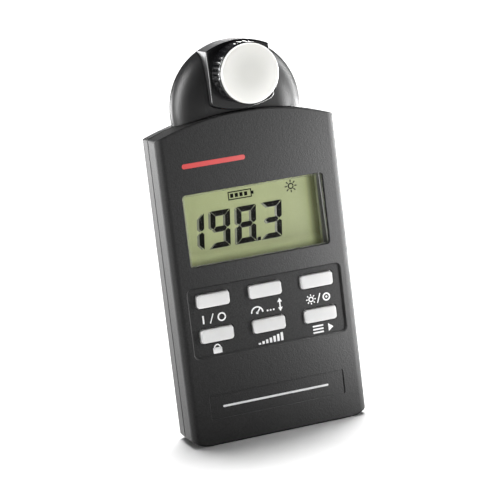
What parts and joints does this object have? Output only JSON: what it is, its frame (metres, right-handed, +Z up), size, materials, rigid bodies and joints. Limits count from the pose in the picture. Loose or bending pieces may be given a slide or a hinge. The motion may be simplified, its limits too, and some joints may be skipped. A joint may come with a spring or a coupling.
{
  "type": "handheld light meter",
  "caption": "Pocket light meter: flat case with a display and sprung keys, a D shaped head with a knurled collar and white diffuser, and a lift-off battery lid.",
  "frame": {"origin": "middle of the flat bottom of the case, at half the case's depth", "axes": "+Z up along the case, the face and the diffuser look along -Y, +X to the right of the face as it is read"},
  "size_m": [0.0628, 0.0307, 0.1329],
  "materials": {
    "case": "fine grained, half matt",
    "sensor_block": "glossy black face, grained sides",
    "collar": "glossy black",
    "diffuser": "translucent white, satin",
    "key": "light grey, satin",
    "window": "clear",
    "lcd": "olive green reflective display",
    "frame": "black",
    "silicone": "grey silicone",
    "strip": "pink silicone",
    "board": "green solder mask",
    "ribbon": "amber film",
    "chip": "moulded black",
    "coil": "grey ferrite",
    "capacitor": "blue sleeve",
    "can": "bright metal",
    "contact": "nickel plated",
    "screw": "blackened",
    "cell": "plain sleeve",
    "filter": "green absorption glass",
    "lead_red": "insulated wire",
    "lead_black": "insulated wire"
  },
  "bodies": {
    "case": {"front_cover": "case", "rear_cover": "case", "head_front_shell": "case", "head_rear_shell": "case", "sensor_block": "sensor_block", "filter_glass": "filter", "photodiode": "can", "crystal_can": "can", "sensor_board": "board", "main_board": "board", "sensor_ribbon": "ribbon", "display_window": "window", "display_frame": "frame", "lcd_glass": "lcd", "contact_strip_lower": "strip", "contact_strip_upper": "strip", "keypad_mat": "silicone", "processor_chip": "chip", "boost_coil": "coil", "storage_capacitor": "capacitor", "battery_cell": "cell", "battery_spring": "contact", "spring_plate": "contact", "positive_contact": "contact", "battery_lead_positive": "lead_red", "battery_lead_negative": "lead_black", "case_screw_1": "screw", "case_screw_2": "screw", "case_screw_3": "screw", "case_screw_4": "screw", "head_screw_1": "screw", "head_screw_2": "screw"},
    "collar": {"knurled_collar": "collar", "diffuser": "diffuser"},
    "battery_lid": {"battery_cover": "case"},
    "key_power": {"key_power": "key"},
    "key_auto": {"key_auto": "key"},
    "key_unit": {"key_unit": "key"},
    "key_hold": {"key_hold": "key"},
    "key_range": {"key_range": "key"},
    "key_memory": {"key_memory": "key"}
  },
  "joints": [
    {"name": "key_power_press", "type": "slide", "parent": "case", "child": "key_power", "axis": [0, 1, 0], "range_m": [0, 0.0007], "stiffness_N_per_m": 600},
    {"name": "key_auto_press", "type": "slide", "parent": "case", "child": "key_auto", "axis": [0, 1, 0], "range_m": [0, 0.0007], "stiffness_N_per_m": 600},
    {"name": "key_unit_press", "type": "slide", "parent": "case", "child": "key_unit", "axis": [0, 1, 0], "range_m": [0, 0.0007], "stiffness_N_per_m": 600},
    {"name": "key_hold_press", "type": "slide", "parent": "case", "child": "key_hold", "axis": [0, 1, 0], "range_m": [0, 0.0007], "stiffness_N_per_m": 600},
    {"name": "key_range_press", "type": "slide", "parent": "case", "child": "key_range", "axis": [0, 1, 0], "range_m": [0, 0.0007], "stiffness_N_per_m": 600},
    {"name": "key_memory_press", "type": "slide", "parent": "case", "child": "key_memory", "axis": [0, 1, 0], "range_m": [0, 0.0007], "stiffness_N_per_m": 600},
    {"name": "collar_turn", "type": "hinge", "parent": "case", "child": "collar", "pos_m": [0, -0.014, 0.1223], "axis": [0, 1, 0], "range_deg": [0, 90]},
    {"name": "battery_lid_lift", "type": "slide", "parent": "case", "child": "battery_lid", "axis": [0, 1, 0], "range_m": [0, 0.02]}
  ]
}
